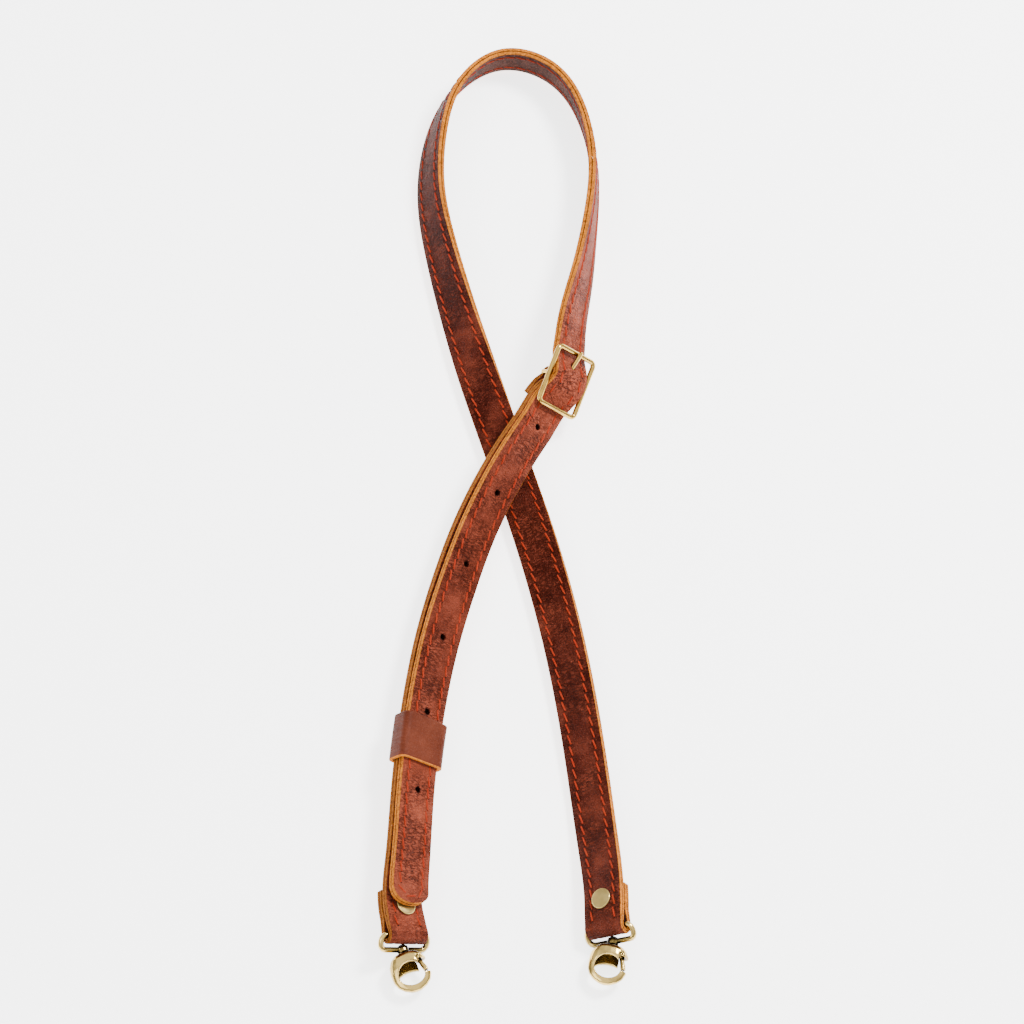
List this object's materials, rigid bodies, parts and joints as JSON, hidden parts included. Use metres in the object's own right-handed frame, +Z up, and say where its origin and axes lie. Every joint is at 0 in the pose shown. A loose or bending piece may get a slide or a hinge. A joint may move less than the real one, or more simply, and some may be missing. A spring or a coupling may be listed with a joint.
{
  "type": "leather shoulder strap",
  "caption": "Adjustable two-ply leather shoulder strap with a centre-bar buckle, a keeper and a swivelling claw clasp at each end, lying in an open loop.",
  "frame": {"origin": "centre of the bounding box at its base, where the strap rests", "axes": "+Z up from the surface it lies on, +Y from the clasps towards the loop's top, +X to the right as the picture shows it"},
  "size_m": [0.1144, 0.472, 0.035],
  "materials": {
    "front_leather": "satin",
    "back_leather": "satin",
    "keeper_leather": "smooth satin",
    "polished_brass": "polished",
    "antique_brass": "antique satin"
  },
  "bodies": {
    "strap": {"long_strap_front": "front_leather", "long_strap_back": "back_leather", "short_strap_front": "front_leather", "short_strap_back": "back_leather", "keeper": "keeper_leather", "buckle_frame": "polished_brass", "buckle_prong": "polished_brass", "rivet_right": "antique_brass", "rivet_left": "antique_brass"},
    "ring_right": {"ring_right": "antique_brass"},
    "hook_right": {"hook_right": "antique_brass"},
    "gate_right": {"gate_right": "antique_brass"},
    "ring_left": {"ring_left": "antique_brass"},
    "hook_left": {"hook_left": "antique_brass"},
    "gate_left": {"gate_left": "antique_brass"}
  },
  "joints": [
    {"name": "ring_right_swing", "type": "hinge", "parent": "strap", "child": "ring_right", "pos_m": [0.04451, -0.20727, 0.0108], "axis": [0.8286, -0.0277, 0.5591], "range_deg": [-60, 35]},
    {"name": "hook_right_swivel", "type": "hinge", "parent": "ring_right", "child": "hook_right", "pos_m": [0.04686, -0.21269, 0.00705], "axis": [-0.2079, -0.978, -0.0174], "continuous": true},
    {"name": "gate_right_open", "type": "hinge", "parent": "hook_right", "child": "gate_right", "pos_m": [0.05027, -0.21965, 0.00694], "axis": [-0.0036, -0.0171, 0.9998], "range_deg": [-35, 0], "stiffness_Nm_per_rad": 0.002, "springref_deg": 5.73},
    {"name": "ring_left_swing", "type": "hinge", "parent": "strap", "child": "ring_left", "pos_m": [-0.04475, -0.21055, 0.01039], "axis": [-0.8496, -0.1702, 0.4992], "range_deg": [-35, 60]},
    {"name": "hook_left_swivel", "type": "hinge", "parent": "ring_left", "child": "hook_left", "pos_m": [-0.04584, -0.21632, 0.00657], "axis": [0.3255, -0.9454, -0.0175], "continuous": true},
    {"name": "gate_left_open", "type": "hinge", "parent": "hook_left", "child": "gate_left", "pos_m": [-0.03933, -0.22053, 0.00646], "axis": [0.0057, -0.0165, 0.9998], "range_deg": [-35, 0], "stiffness_Nm_per_rad": 0.002, "springref_deg": 5.73}
  ]
}
